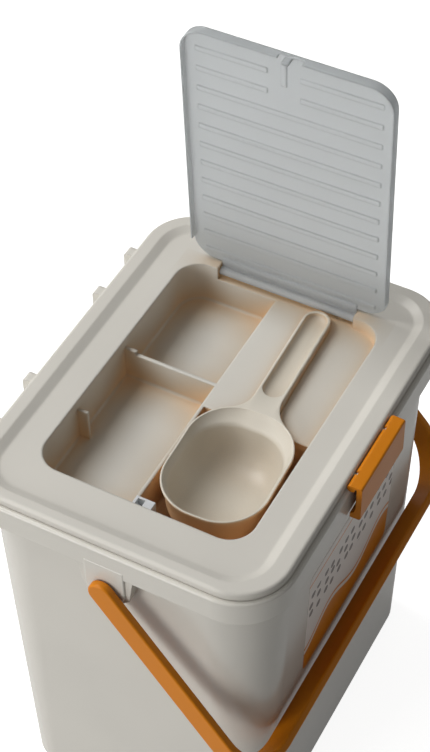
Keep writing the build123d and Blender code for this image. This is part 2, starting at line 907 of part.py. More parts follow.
pieces = {
    "bin_body": make_bin_body(),
    "lid": make_lid(),
    "lid_gasket": make_gasket(),
    "lid_hinge_pin_left": make_hinge_rod(-1),
    "lid_hinge_pin_right": make_hinge_rod(1),
    "tray_cover": make_tray_cover(),
    "cover_catch": make_catch(),
    "front_latch": make_front_latch(),
    "handle": make_handle(),
    "scoop": make_scoop(),
    "front_label": make_label(),
}

for name, shape in pieces.items():
    export_step(shape, f"parts/{name}.step")

print("handle rest angle", round(degrees(rest_angle()), 2))
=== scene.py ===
import math

import bmesh
import bpy
import numpy as np
from bpy.props import FloatProperty, FloatVectorProperty, PointerProperty
from mathutils import Matrix, Vector
from mathutils.geometry import tessellate_polygon


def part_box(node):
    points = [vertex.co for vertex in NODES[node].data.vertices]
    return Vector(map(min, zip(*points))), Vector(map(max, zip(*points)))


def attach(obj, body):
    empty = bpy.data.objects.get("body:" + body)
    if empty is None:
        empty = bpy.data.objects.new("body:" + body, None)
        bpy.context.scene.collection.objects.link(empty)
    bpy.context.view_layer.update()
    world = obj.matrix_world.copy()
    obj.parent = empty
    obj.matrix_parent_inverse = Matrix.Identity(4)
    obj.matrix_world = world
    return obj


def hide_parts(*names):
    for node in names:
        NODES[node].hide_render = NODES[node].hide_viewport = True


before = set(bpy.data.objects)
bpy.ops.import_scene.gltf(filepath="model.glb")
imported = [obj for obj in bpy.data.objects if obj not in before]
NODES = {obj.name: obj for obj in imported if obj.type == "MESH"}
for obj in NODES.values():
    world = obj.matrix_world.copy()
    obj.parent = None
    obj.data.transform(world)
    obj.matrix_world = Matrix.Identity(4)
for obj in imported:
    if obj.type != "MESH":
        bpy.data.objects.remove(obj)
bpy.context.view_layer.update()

bl_info = {
    "name": "Food storage bin",
    "version": (1, 0, 0),
    "blender": (4, 5, 0),
    "location": "3D View > Sidebar > Food bin",
    "description": "Dresses a food storage bin: its moulded plastics, frosted tray cover, label and stage",
    "category": "Object",
}

MM = 0.001
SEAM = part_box("bin_body")[1][2]

# The photograph's frame and the camera that its edges were solved for; angles are in degrees.
IMAGE_WIDTH_PX = 430
IMAGE_HEIGHT_PX = 752
FOCAL_PX = 1875.15
CENTRE_X_PX = 207.8
CENTRE_Y_PX = 376.84
CAMERA_PLACE = Vector((-0.75167, -0.41783, 0.96249 + SEAM))
CAMERA_AZIMUTH = -60.65
CAMERA_ELEVATION = 47.68
CAMERA_ROLL = -1.5
SENSOR_HEIGHT_MM = 36.0
CLIP_NEAR = 0.01
CLIP_FAR = 50.0

# Half the tray's mouth, inside which the white plastic gets painted shade and painted warm light in its
# colour.
TRAY_HALF_X = 112.0 * MM
TRAY_HALF_Y = 80.0 * MM
TRAY_FADE = 5.0 * MM

# How much of the paper's added brightness a mirror-like surface shows.
MIRRORED = 0.3

# The scoop's outline as the CAD has it, before its small turn. Depths are below its top, and the turn
# and the neck's fade are in degrees.
SCOOP_NEAR = -99.6 * MM
SCOOP_FAR = 0.7 * MM
SCOOP_FRONT = -75.0 * MM
SCOOP_BACK = 2.0 * MM
SCOOP_TOP = SEAM - 0.6 * MM
SCOOP_TURN = 2.1
RIM_CORNER = 34.0 * MM
RIM_ROUND = 0.7 * MM
RIM_WALL = 1.6 * MM
LIP_DEPTH = 1.8 * MM
HANDLE_END = 106.3 * MM
HANDLE_HALF = 10.25 * MM
HANDLE_DEPTH = 7.1 * MM
NECK_BACK = 20.0 * MM
NECK_FRONT = 25.0 * MM
NECK_FADE = 5.0
SHOULDER_INSET = 2.6 * MM
SHOULDER_FAR = -9.4 * MM
BOWL_DEPTH = 37.9 * MM
BOWL_WALL = 1.8 * MM
UNDERSIDE_DROP = 0.5 * MM
CHANNEL_NEAR = 16.0 * MM
CHANNEL_FAR = 104.5 * MM
CHANNEL_HALF = 8.7 * MM
CHANNEL_DEPTH = 5.0 * MM

# The rounded edge of the channel in the scoop's handle: how far in and how far down each loop is.
CHANNEL_EDGE = (
    (0.0, 0.0),
    (0.25 * MM, 0.1 * MM),
    (0.5 * MM, 0.4 * MM),
    (0.6 * MM, 0.8 * MM),
)

# The bowl's half width, half length and middle, worked out from its four sides.
BOWL_HALF_WIDTH = (SCOOP_BACK - SCOOP_FRONT) / 2
BOWL_HALF_LENGTH = (SCOOP_FAR - SCOOP_NEAR) / 2
BOWL_MIDDLE_X = (SCOOP_FAR + SCOOP_NEAR) / 2
BOWL_MIDDLE_Y = (SCOOP_FRONT + SCOOP_BACK) / 2

# How finely the scoop's skin is divided, along its loops and from loop to loop.
FAR_CORNER_STEPS = 26
NEAR_CORNER_STEPS = 34
FAR_WALL_STEPS = 24
MOUTH_WALL_STEPS = 30
NECK_STEPS = 20
SIDE_STEPS = 14
TIP_STEPS = 33
CHANNEL_END_STEPS = 25
EDGE_ROWS = 6
UNDERSIDE_ROWS = 22
BOWL_ROWS = 34
CHANNEL_ROWS = 14

# Superellipse exponents: 2 is an ellipse, and a larger one has a steeper wall and a flatter floor.
UNDERSIDE_BEND = 4.0
BOWL_BEND = 2.7
CHANNEL_BEND = 2.6

# Points nearer than this are one point.
SAME_POINT = 0.001 * MM

# Polypropylene bends light about as glass does, and its gloss differs a little over a wall.
PLASTIC_IOR = 1.49
GLOSS_SPREAD = 0.05

# The samples with which light finds rounded edges and narrow places.
EDGE_SAMPLES = 6
COVER_EDGE_SAMPLES = 8
NARROW_SAMPLES = 6

# The cover's soft edges and how much light it lets through, and the relief of its frost and of the film.
COVER_EDGE = 2.0 * MM
COVER_CLEAR = 0.62
FROST_DEPTH = 0.02 * MM
FILM_GRAIN_DEPTH = 0.01 * MM

# The fine lines on a drawn rod: how long one is, and how many times as long as it is wide.
DRAWN_LINE = 1000.0 / 60.0 * MM
DRAWN_STRETCH = 40.0

# How open a place is, from 0 in a closed crack to 1 in the open, where each painted tint of the tray is full:
# painted warm light in cracks, painted shade in sunk places, and the plastic's own white in the open.
PAINTED_GLOW_AT = 0.25
PAINTED_SHADE_AT = 0.62
OPEN_AT = 0.95

# The label's print, as shares of its height: the straight line's two edges are down from the top, and
# the others up from the bottom. The wave's length is a share of the label's, and its phase in radians.
WAVE_OF_LENGTH = 0.62
WAVE_PHASE = 0.6
WAVE_RISE = 0.07
BAND_TOP = 0.26
ECHO_LOW = 0.30
ECHO_HIGH = 0.325
LINE_LOW = 0.085
LINE_HIGH = 0.07
DOTS_LOW = 0.52
DOTS_HIGH = 0.80
PRINT_EDGE = 0.25 * MM

# A dot's inner and outer radius, and how far it strays from its row, as shares of the dots' spacing.
DOT_INNER = 0.27
DOT_OUTER = 0.31
DOT_STRAY = 0.35

# The stage: the paper's own brightness and the width in metres of its faint clouds, and the room's
# light from the front and from the back.
PAPER_GLOW = 0.88
PAPER_CLOUD = 1.0 / 3.0
ROOM_FRONT = 0.13
ROOM_BACK = 0.31
FLOOR_DROP = 0.5 * MM
FLOOR_LINES = 9

# Each soft box: its name, its place, the side of its square in metres and its power in watts.
LAMPS = (
    ("lamp_key", (-0.1, 1.7, 2.5), 1.6, 55.0),
    ("lamp_side", (-2.4, 1.2, 0.9), 1.4, 37.0),
)
LAMP_AIM = (0.0, 0.0, 0.25)


def srgb(hex_colour):
    """A linear colour from an sRGB hex value: each channel to the power law of sRGB."""
    channels = np.array([int(hex_colour[i:i + 2], 16) for i in (1, 3, 5)]) / 255.0
    linear = np.where(channels <= 0.04045, channels / 12.92, ((channels + 0.055) / 1.055) ** 2.4)
    return tuple(linear)


def colour_property(name, hex_colour, description):
    """A colour that a user can change."""
    return FloatVectorProperty(
        name=name, description=description, subtype="COLOR", size=3, min=0.0, max=1.0,
        default=srgb(hex_colour),
    )


def length_property(name, default, description):
    """A length that a user can change."""
    return FloatProperty(
        name=name, description=description, subtype="DISTANCE", unit="LENGTH", min=0.0, default=default
    )


class BinColours(bpy.types.PropertyGroup):
    """The colours that a user would change."""

    white: colour_property("White", "#D2CEC5", "Warm white of the tub and the lid")
    scoop: colour_property("Scoop", "#D6CFC1", "Warm white of the scoop")
    orange: colour_property("Orange", "#D17C04", "Orange of the handle and the clip")
    frosted: colour_property("Frosted", "#CFD2D3", "Tint of the see-through tray cover")
    catch: colour_property("Catch", "#DADCDD", "Cool white of the catch")
    seal: colour_property("Seal", "#C9C6BE", "Silicone of the lid's seal")
    # Painted light: a warm light and a warm shade painted into the white plastic's colour in the tray's
    # narrow and sunk places.
    painted_glow: colour_property("Glow", "#E9C294", "Warm tint of the white plastic in narrow places")
    shadow: colour_property("Shadow", "#C0B3A0", "Warm shade of the white plastic in sunk places")
    film: colour_property("Label film", "#E6DDD6", "Ground of the printed label")
    ink: colour_property("Label ink", "#5A4A40", "Dark print on the label")


class BinSizes(bpy.types.PropertyGroup):
    """The sizes that a user would change."""

    grain: length_property("Grain", 0.7 * MM, "Spacing of the lid's fine moulded grain")
    edge: length_property("Edge", 0.7 * MM, "Rounding of moulded edges as light sees them")
    lid_edge: length_property("Lid edge", 2.2 * MM, "Rounding of the lid's soft edges as light sees them")
    crevice: length_property("Crevice", 35 * MM, "Reach within which a place counts as narrow")
    ripple: length_property("Ripple", 55 * MM, "Spacing of the slow ripples in a moulded wall")
    dot_pitch: length_property("Dot pitch", 11 * MM, "Spacing of the dots on the label")
    floor: length_property("Floor", 12.0, "Side of the floor")


def add_node(tree, kind, inputs=(), **settings):
    """Adds one node, sets its attributes, and fills its inputs with values or links."""
    node = tree.nodes.new(kind)
    for key, value in settings.items():
        setattr(node, key, value)
    for key, value in dict(inputs).items():
        if isinstance(value, bpy.types.NodeSocket):
            tree.links.new(value, node.inputs[key])
        else:
            node.inputs[key].default_value = value
    return node


def new_material(name):
    """An empty material with its output node and the Object coordinates."""
    material = bpy.data.materials.new(name)
    material.use_nodes = True
    tree = material.node_tree
    tree.nodes.clear()
    output = add_node(tree, "ShaderNodeOutputMaterial")
    place = add_node(tree, "ShaderNodeTexCoord").outputs["Object"]
    return material, tree, output, place


def wear(node_name, material):
    """Gives a CAD node its finished material."""
    mesh = NODES[node_name].data
    mesh.materials.clear()
    mesh.materials.append(material)


def painted_tray_shade(tree, place, base, painted_glow, shadow, reach):
    """Painted shade and painted light in the white plastic inside the tray's mouth: sunk places are painted
    darker as shade, and the narrowest a warm colour that stands in for light coming through thin plastic."""
    around = add_node(tree, "ShaderNodeAmbientOcclusion", {"Distance": reach}, samples=NARROW_SAMPLES)
    axes = add_node(tree, "ShaderNodeSeparateXYZ", {"Vector": place})
    past = []
    for axis, half in (("X", TRAY_HALF_X), ("Y", TRAY_HALF_Y)):
        away = add_node(tree, "ShaderNodeMath", {0: axes.outputs[axis]}, operation="ABSOLUTE")
        beyond = {"Value": away.outputs[0], "From Min": half, "From Max": half + TRAY_FADE}
        past.append(add_node(tree, "ShaderNodeMapRange", beyond).outputs["Result"])
    openness = around.outputs["AO"]
    for outside in past:
        larger = add_node(tree, "ShaderNodeMath", {0: openness, 1: outside}, operation="MAXIMUM")
        openness = larger.outputs["Value"]
    # The painted light and shade: a ramp from painted warm light in cracks, through painted shade, to the
    # plain white in the open.
    warm = add_node(tree, "ShaderNodeValToRGB", {"Fac": openness})
    stops = warm.color_ramp.elements
    stops[0].position = PAINTED_GLOW_AT
    stops[0].color = (*painted_glow, 1.0)
    stops[1].position = OPEN_AT
    stops[1].color = (*base, 1.0)
    stops.new(PAINTED_SHADE_AT).color = (*shadow, 1.0)
    return warm.outputs["Color"]


def moulded(
    name, colour, roughness, sizes, grain_depth, ripple_depth,
    mottle=0.03, edge=None, shine=0.5, painted_glow=None, shadow=None,
):
    """A moulded plastic: slow ripples from cooling, a fine grain, and edges rounded by the mould. The
    grain is drawn coarser than the real one, so that it shows. With the two painted colours given, the
    tray's sunk places get painted shade and painted warm light."""
    material, tree, output, place = new_material(name)
    slow = add_node(tree, "ShaderNodeTexNoise", {"Vector": place, "Scale": 1.0 / sizes.ripple, "Detail": 0.0})
    fine = add_node(
        tree,
        "ShaderNodeTexNoise",
        {"Vector": place, "Scale": 1.0 / sizes.grain, "Detail": 1.0, "Roughness": 0.5},
    )
    shade = add_node(
        tree,
        "ShaderNodeMapRange",
        {"Value": slow.outputs["Fac"], "To Min": 1.0 - mottle, "To Max": 1.0 + mottle},
    )
    base = tuple(colour)
    # Painted shade and painted warm light in the tray's sunk places.
    if painted_glow:
        base = painted_tray_shade(tree, place, base, painted_glow, shadow, sizes.crevice)
    tint = add_node(tree, "ShaderNodeVectorMath", {0: base, 1: shade.outputs["Result"]}, operation="MULTIPLY")
    gloss = add_node(
        tree,
        "ShaderNodeMapRange",
        {
            "Value": slow.outputs["Fac"],
            "To Min": roughness - GLOSS_SPREAD,
            "To Max": roughness + GLOSS_SPREAD,
        },
    )
    normal = add_node(
        tree, "ShaderNodeBevel", {"Radius": edge or sizes.edge}, samples=EDGE_SAMPLES
    ).outputs["Normal"]
    for pattern, depth in ((slow, ripple_depth), (fine, grain_depth)):
        relief = {"Height": pattern.outputs["Fac"], "Distance": depth, "Strength": 1.0, "Normal": normal}
        normal = add_node(tree, "ShaderNodeBump", relief).outputs["Normal"]
    shader = add_node(
        tree,
        "ShaderNodeBsdfPrincipled",
        {
            "Base Color": tint.outputs["Vector"],
            "Roughness": gloss.outputs["Result"],
            "IOR": PLASTIC_IOR,
            "Specular IOR Level": shine,
            "Normal": normal,
        },
    )
    tree.links.new(shader.outputs["BSDF"], output.inputs["Surface"])
    return material


def frosted_cover_plastic(colours, sizes):
    """Frosted polypropylene, 2 mm thick: the eye sees a soft grey-blue haze with the light behind it."""
    material, tree, output, place = new_material("polypropylene_frosted")
    slow = add_node(tree, "ShaderNodeTexNoise", {"Vector": place, "Scale": 1.0 / sizes.ripple, "Detail": 2.0})
    fine = add_node(tree, "ShaderNodeTexNoise", {"Vector": place, "Scale": 1.0 / sizes.grain, "Detail": 1.0})
    rounded = add_node(tree, "ShaderNodeBevel", {"Radius": COVER_EDGE}, samples=COVER_EDGE_SAMPLES)
    frost = add_node(
        tree,
        "ShaderNodeBump",
        {"Height": fine.outputs["Fac"], "Distance": FROST_DEPTH, "Normal": rounded.outputs["Normal"]},
    )
    gloss = add_node(
        tree, "ShaderNodeMapRange", {"Value": slow.outputs["Fac"], "To Min": 0.42, "To Max": 0.52}
    )
    shader = add_node(
        tree,
        "ShaderNodeBsdfPrincipled",
        {
            "Base Color": (*colours.frosted, 1.0),
            "Roughness": gloss.outputs["Result"],
            "IOR": PLASTIC_IOR,
            "Transmission Weight": COVER_CLEAR,
            "Normal": frost.outputs["Normal"],
        },
    )
    tree.links.new(shader.outputs["BSDF"], output.inputs["Surface"])
    return material


def drawn_steel():
    """Drawn steel rod: a bright grey with fine lines along its length."""
    material, tree, output, place = new_material("steel_drawn")
    scale = (1.0, DRAWN_STRETCH, DRAWN_STRETCH)
    stretched = add_node(tree, "ShaderNodeMapping", {"Vector": place, "Scale": scale}).outputs["Vector"]
    lines = add_node(tree, "ShaderNodeTexNoise", {"Vector": stretched, "Scale": 1.0 / DRAWN_LINE})
    gloss = add_node(
        tree, "ShaderNodeMapRange", {"Value": lines.outputs["Fac"], "To Min": 0.22, "To Max": 0.42}
    )
    shader = add_node(
        tree,
        "ShaderNodeBsdfPrincipled",
        {"Base Color": (*srgb("#B9B9BA"), 1.0), "Metallic": 1.0, "Roughness": gloss.outputs["Result"]},
    )
    tree.links.new(shader.outputs["BSDF"], output.inputs["Surface"])
    return material


def label_film(colours, sizes):
    """Printed film in the mould: a pale ground, a wavy orange band with a thin line that follows it,
    a straight line near the top and rows of dots."""
    material, tree, output, place = new_material("polypropylene_printed_film")
    low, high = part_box("front_label")
    axes = add_node(tree, "ShaderNodeSeparateXYZ", {"Vector": place})
    height = high[2] - low[2]
    length = high[0] - low[0]

    def stripe(value, start, stop):
        """A printed stripe: 1 between its two edges and 0 outside them, with soft steps."""
        steps = [
            add_node(
                tree,
                "ShaderNodeMapRange",
                {"Value": value, "From Min": edge - PRINT_EDGE, "From Max": edge + PRINT_EDGE},
                interpolation_type="SMOOTHSTEP",
            ).outputs["Result"]
            for edge in (start, stop)
        ]
        ink = add_node(tree, "ShaderNodeMath", {0: steps[0], 1: steps[1]}, operation="SUBTRACT")
        return ink.outputs["Value"]

    radians_per_metre = 2 * math.pi / (WAVE_OF_LENGTH * length)
    swing = add_node(
        tree,
        "ShaderNodeMath",
        {0: axes.outputs["X"], 1: radians_per_metre, 2: WAVE_PHASE},
        operation="MULTIPLY_ADD",
    ).outputs["Value"]
    wave = add_node(tree, "ShaderNodeMath", {0: swing}, operation="SINE").outputs["Value"]
    level = add_node(
        tree,
        "ShaderNodeMath",
        {0: wave, 1: WAVE_RISE * height, 2: axes.outputs["Z"]},
        operation="MULTIPLY_ADD",
    ).outputs["Value"]
    orange_mask = stripe(level, low[2] - height, low[2] + BAND_TOP * height)
    echo = stripe(level, low[2] + ECHO_LOW * height, low[2] + ECHO_HIGH * height)
    line = stripe(axes.outputs["Z"], high[2] - LINE_LOW * height, high[2] - LINE_HIGH * height)
    for mark in (echo, line):
        larger = add_node(tree, "ShaderNodeMath", {0: orange_mask, 1: mark}, operation="MAXIMUM")
        orange_mask = larger.outputs["Value"]
    flat = add_node(
        tree, "ShaderNodeCombineXYZ", {"X": axes.outputs["X"], "Y": axes.outputs["Z"], "Z": 0.0}
    ).outputs["Vector"]
    dots = add_node(
        tree,
        "ShaderNodeTexVoronoi",
        {"Vector": flat, "Scale": 1.0 / sizes.dot_pitch, "Randomness": DOT_STRAY},
        voronoi_dimensions="2D",
    ).outputs["Distance"]
    spot = add_node(
        tree,
        "ShaderNodeMapRange",
        {"Value": dots, "From Min": DOT_INNER, "From Max": DOT_OUTER, "To Min": 1.0, "To Max": 0.0},
    ).outputs["Result"]
    rows = stripe(axes.outputs["Z"], low[2] + DOTS_LOW * height, low[2] + DOTS_HIGH * height)
    dot_mask = add_node(
        tree, "ShaderNodeMath", {0: spot, 1: rows}, operation="MULTIPLY"
    ).outputs["Value"]
    ground = add_node(
        tree,
        "ShaderNodeMix",
        {"Factor": orange_mask, "A": (*colours.film, 1.0), "B": (*colours.orange, 1.0)},
        data_type="RGBA",
    )
    printed = add_node(
        tree,
        "ShaderNodeMix",
        {"Factor": dot_mask, "A": ground.outputs["Result"], "B": (*colours.ink, 1.0)},
        data_type="RGBA",
    )
    grain = add_node(tree, "ShaderNodeTexNoise", {"Vector": place, "Scale": 1.0 / sizes.grain, "Detail": 1.0})
    sheen = add_node(tree, "ShaderNodeBump", {"Height": grain.outputs["Fac"], "Distance": FILM_GRAIN_DEPTH})
    shader = add_node(
        tree,
        "ShaderNodeBsdfPrincipled",
        {
            "Base Color": printed.outputs["Result"],
            "Roughness": 0.34,
            "IOR": PLASTIC_IOR,
            "Normal": sheen.outputs["Normal"],
        },
    )
    tree.links.new(shader.outputs["BSDF"], output.inputs["Surface"])
    return material


def stage_paper(name, hex_colour):
    """Matt pale paper: lit softly, near white to the camera and through glass, and less so in gloss."""
    material, tree, output, place = new_material(name)
    noise = add_node(tree, "ShaderNodeTexNoise", {"Vector": place, "Scale": 1.0 / PAPER_CLOUD})
    shade = add_node(
        tree, "ShaderNodeMapRange", {"Value": noise.outputs["Fac"], "To Min": 0.985, "To Max": 1.0}
    )
    tint = add_node(
        tree, "ShaderNodeVectorMath", {0: srgb(hex_colour), 1: shade.outputs["Result"]}, operation="MULTIPLY"
    )
    paper = add_node(
        tree, "ShaderNodeBsdfPrincipled", {"Base Color": tint.outputs["Vector"], "Roughness": 0.9}
    )
    path = add_node(tree, "ShaderNodeLightPath")
    mirrored = add_node(
        tree, "ShaderNodeMath", {0: path.outputs["Is Glossy Ray"], 1: MIRRORED}, operation="MULTIPLY"
    ).outputs["Value"]
    seen = path.outputs["Is Camera Ray"]
    for way in (mirrored, path.outputs["Is Transmission Ray"]):
        larger = add_node(tree, "ShaderNodeMath", {0: seen, 1: way}, operation="MAXIMUM")
        seen = larger.outputs["Value"]
    strength = add_node(
        tree, "ShaderNodeMath", {0: seen, 1: PAPER_GLOW}, operation="MULTIPLY"
    ).outputs["Value"]
    light = add_node(tree, "ShaderNodeEmission", {"Strength": strength})
    both = add_node(tree, "ShaderNodeAddShader", {0: paper.outputs["BSDF"], 1: light.outputs["Emission"]})
    tree.links.new(both.outputs["Shader"], output.inputs["Surface"])
    return material


def finished_piece(mesh, material):
    """Smooths a mesh, gives it its material and puts its object in the scene, unmoved."""
    mesh.polygons.foreach_set("use_smooth", np.ones(len(mesh.polygons), dtype=bool))
    mesh.materials.append(material)
    mesh.update()
    piece = bpy.data.objects.new(mesh.name, mesh)
    bpy.context.scene.collection.objects.link(piece)
    return piece


def arc(centre, radius, start, end, count):
    """Points on a circle's arc: the centre plus the radius times cosine and sine of evenly spaced angles."""
    angle = np.radians(np.linspace(start, end, count))
    return np.stack([centre[0] + radius * np.cos(angle), centre[1] + radius * np.sin(angle)], axis=1)


def spread(points, count):
    """A polyline's points where its length so far, the sum of its steps, has evenly spaced values."""
    length = np.concatenate([[0.0], np.cumsum(np.linalg.norm(np.diff(points, axis=0), axis=1))])
    at = np.linspace(0.0, length[-1], count)
    return np.stack([np.interp(at, length, points[:, 0]), np.interp(at, length, points[:, 1])], axis=1)


def neck_angle(radius):
    """Where a neck fillet touches the rim's corner arc, as an angle on that arc: the arcsine of the
    fillet centre's rise above the corner centre over the sum of both radii."""
    rise = HANDLE_HALF + radius - BOWL_HALF_WIDTH + RIM_CORNER
    return math.degrees(math.asin(rise / (RIM_CORNER + radius)))


def rounded_loop(near, far, half, corner, ends):
    """The bowl's outline at one level, as four corner arcs; the far wall between the neck's two
    touching angles is read at as many even steps as the handle has points."""
    back, front = neck_angle(NECK_BACK), neck_angle(NECK_FRONT)
    x = (far - corner, near + corner)
    y = half - corner
    bowl = np.concatenate([
        arc((x[0], y), corner, back, 90, FAR_CORNER_STEPS),
        arc((x[1], y), corner, 90, 180, NEAR_CORNER_STEPS),
        arc((x[1], -y), corner, 180, 270, NEAR_CORNER_STEPS),
        arc((x[0], -y), corner, 270, 360 - front, FAR_CORNER_STEPS),
    ])
    wall = np.concatenate([
        arc((x[0], -y), corner, -front, 0, FAR_WALL_STEPS),
        arc((x[0], y), corner, 0, back, FAR_WALL_STEPS),
    ])
    return np.concatenate([bowl, spread(wall, ends + 2)[1:-1]])


def rim_loop(inset, ends):
    """The bowl's outline at its rim, moved in by inset on every side."""
    reach = BOWL_HALF_LENGTH - inset
    return rounded_loop(-reach, reach, BOWL_HALF_WIDTH - inset, RIM_CORNER - inset, ends)


def scoop_loop(inset):
    """The scoop's whole outline moved in by inset, centred on its bowl: the rim's corner arcs, then the
    front neck fillet, the handle's side, its round end, its other side and the back neck fillet."""
    tip = HANDLE_END - BOWL_MIDDLE_X - HANDLE_HALF
    back, front = neck_angle(NECK_BACK), neck_angle(NECK_FRONT)
    run = BOWL_HALF_LENGTH - RIM_CORNER
    back_x = run + (RIM_CORNER + NECK_BACK) * math.cos(math.radians(back))
    front_x = run + (RIM_CORNER + NECK_FRONT) * math.cos(math.radians(front))
    front_centre = (front_x, -HANDLE_HALF - NECK_FRONT)
    back_centre = (back_x, HANDLE_HALF + NECK_BACK)
    fillet_front = arc(front_centre, NECK_FRONT + inset, 180 - front, 90, NECK_STEPS)[1:]
    end = arc((tip, 0.0), HANDLE_HALF - inset, -90, 90, TIP_STEPS)
    fillet_back = arc(back_centre, NECK_BACK + inset, 270, 180 + back, NECK_STEPS)[:-1]
    side_front = np.linspace(fillet_front[-1], end[0], SIDE_STEPS)[1:-1]
    side_back = np.linspace(end[-1], fillet_back[0], SIDE_STEPS)[1:-1]
    handle = np.concatenate([fillet_front, side_front, end, side_back, fillet_back])
    return np.concatenate([rim_loop(inset, 0), handle]), len(handle)


def level_loop(loop, depth):
    """A flat loop set at a depth below the scoop's top; the depth may differ from point to point."""
    return np.column_stack([loop, np.broadcast_to(-np.asarray(depth, dtype=float), len(loop))])


def superellipse(exponent, rows):
    """A quarter of a superellipse: the cosine and the sine of evenly spaced angles, each to the power
    of two over the exponent."""
    angle = np.linspace(0.0, math.pi / 2, rows)
    keep = np.cos(angle) ** (2 / exponent)
    keep[-1] = 0.0
    return keep, np.sin(angle) ** (2 / exponent)


def hollow(loop, depth, start, exponent, rows):
    """Loops that shrink to a seam as they sink: the share of the loop kept and the share of the depth
    reached are the two sides of a superellipse, so the wall starts steep and the floor ends flat."""
    keep, sink = superellipse(exponent, rows)
    seam_line = np.zeros_like(loop)
    low, high = loop[:, 0].min(), loop[:, 0].max()
    half = np.abs(loop[:, 1]).max()
    seam_line[:, 0] = np.clip(loop[:, 0], low + half, high - half)
    flat = seam_line[None] + keep[:, None, None] * (loop - seam_line)[None]
    z = np.broadcast_to(-(start + sink * (depth - start))[:, None, None], (rows, len(loop), 1))
    return np.concatenate([flat, z], axis=2)


def outer_skin():
    """Loops from the bowl's underside out to its shoulder, up the lip and the handle's side and over a
    round edge. Beside the neck the lip's lower edge eases down to the handle's depth by a smooth step:
    three times the square less twice the cube of the angle's share of the fade."""
    outline, handle_count = scoop_loop(0.0)
    shoulder = rounded_loop(
        -BOWL_HALF_LENGTH + SHOULDER_INSET,
        SHOULDER_FAR - BOWL_MIDDLE_X,
        BOWL_HALF_WIDTH - SHOULDER_INSET,
        RIM_CORNER - SHOULDER_INSET,
        handle_count,
    )
    under = hollow(shoulder, BOWL_DEPTH, HANDLE_DEPTH + UNDERSIDE_DROP, UNDERSIDE_BEND, UNDERSIDE_ROWS)[::-1]
    angle = np.degrees(np.arctan2(outline[:, 1], outline[:, 0] - (BOWL_HALF_LENGTH - RIM_CORNER)))
    past = np.where(angle > 0, angle - neck_angle(NECK_BACK), -angle - neck_angle(NECK_FRONT)) / NECK_FADE
    on_bowl = np.arange(len(outline)) < len(outline) - handle_count
    share = np.clip(np.where(on_bowl, past, 0.0), 0.0, 1.0)
    low = HANDLE_DEPTH + (LIP_DEPTH - HANDLE_DEPTH) * share * share * (3 - 2 * share)
    edge = [
        level_loop(scoop_loop(RIM_ROUND * (1 - math.cos(step)))[0], RIM_ROUND * (1 - math.sin(step)))
        for step in np.linspace(0.0, math.pi / 2, EDGE_ROWS)
    ]
    return np.concatenate([under, level_loop(outline, low)[None], np.stack(edge)])


def bowl_skin():
    """Loops from the flat top over the bowl's round edge and down: a superellipse hollow of the mouth,
    pulled in to the inner shoulder by the sine of the share of the handle's depth reached."""
    mouth = []
    for step in np.linspace(math.pi / 2, 0.0, EDGE_ROWS):
        loop = rim_loop(RIM_WALL - RIM_ROUND * (1 - math.cos(step)), MOUTH_WALL_STEPS)
        mouth.append(level_loop(loop, RIM_ROUND * (1 - math.sin(step))))
    inset = SHOULDER_INSET + BOWL_WALL
    shoulder = rounded_loop(
        -BOWL_HALF_LENGTH + inset,
        SHOULDER_FAR - BOWL_WALL - BOWL_MIDDLE_X,
        BOWL_HALF_WIDTH - inset,
        RIM_CORNER - inset,
        MOUTH_WALL_STEPS,
    )
    rim = mouth[-1][:, :2]
    sunk = hollow(rim, BOWL_DEPTH - BOWL_WALL, RIM_ROUND, BOWL_BEND, BOWL_ROWS)
    pull = np.clip((-sunk[:, :, 2:] - RIM_ROUND) / (HANDLE_DEPTH - RIM_ROUND), 0.0, 1.0)
    pull = np.sin(pull * math.pi / 2)
    keep = superellipse(BOWL_BEND, BOWL_ROWS)[0]
    sunk[:, :, :2] += pull * keep[:, None, None] * (shoulder - rim)[None]
    return np.concatenate([np.stack(mouth), sunk[1:]])


def channel_skin():
    """Loops of a slot with half-round ends, over the channel's round edge and down as a superellipse
    hollow."""
    near = CHANNEL_NEAR - BOWL_MIDDLE_X + CHANNEL_HALF
    far = CHANNEL_FAR - BOWL_MIDDLE_X - CHANNEL_HALF
    edge = []
    for inset, depth in CHANNEL_EDGE:
        radius = CHANNEL_HALF - inset
        loop = np.concatenate([
            arc((far, 0.0), radius, -90, 90, CHANNEL_END_STEPS),
            arc((near, 0.0), radius, 90, 270, CHANNEL_END_STEPS),
        ])
        edge.append(level_loop(loop, depth))
    groove = hollow(edge[-1][:, :2], CHANNEL_DEPTH, CHANNEL_EDGE[-1][1], CHANNEL_BEND, CHANNEL_ROWS)
    return np.concatenate([np.stack(edge), groove[1:]])


